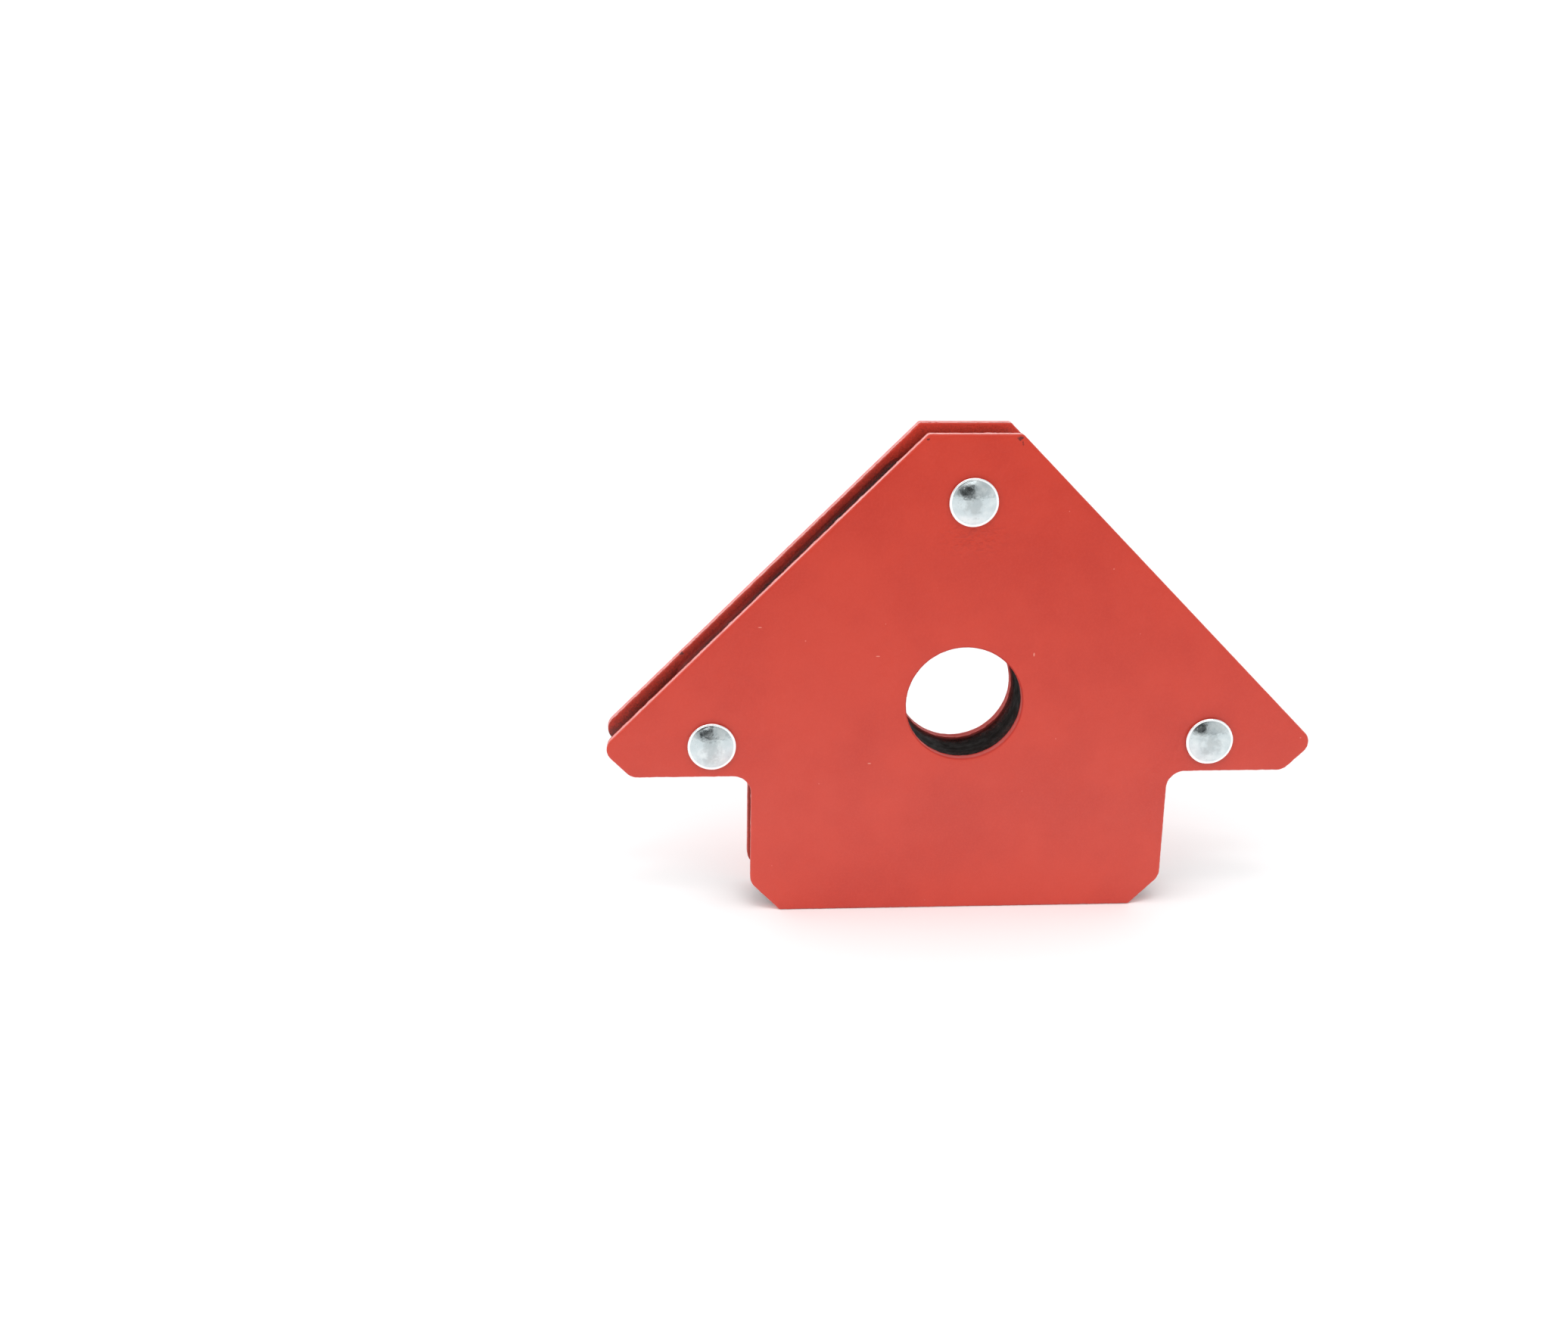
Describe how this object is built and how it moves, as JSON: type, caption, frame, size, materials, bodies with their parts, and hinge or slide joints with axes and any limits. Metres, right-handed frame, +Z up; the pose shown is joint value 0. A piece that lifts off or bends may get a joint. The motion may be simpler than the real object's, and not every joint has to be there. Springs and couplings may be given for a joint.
{
  "type": "welding magnet holder",
  "caption": "Arrow-shaped magnetic welding holder: red steel plates riveted over a black core with ferrite blocks, and a round centre hole.",
  "frame": {"origin": "middle of the base: halfway across the width and the thickness, on the plane of the base edge", "axes": "+X along the base, +Y from the front plate with the rivet heads to the rear plate, +Z up to the apex"},
  "size_m": [0.117, 0.0149, 0.081],
  "materials": {
    "red_coat": "satin",
    "black_core": "matte",
    "ferrite": "matte",
    "zinc": "satin",
    "bare_steel": "satin"
  },
  "bodies": {
    "root": {"front_plate": "red_coat", "rear_plate": "red_coat", "carrier": "black_core", "magnet_top": "ferrite", "magnet_left": "ferrite", "magnet_right": "ferrite", "magnet_base_left": "ferrite", "magnet_base_right": "ferrite", "rivet_top": "zinc", "rivet_left": "zinc", "rivet_right": "zinc", "spacer_top": "bare_steel", "spacer_left": "bare_steel", "spacer_right": "bare_steel"}
  },
  "joints": []
}
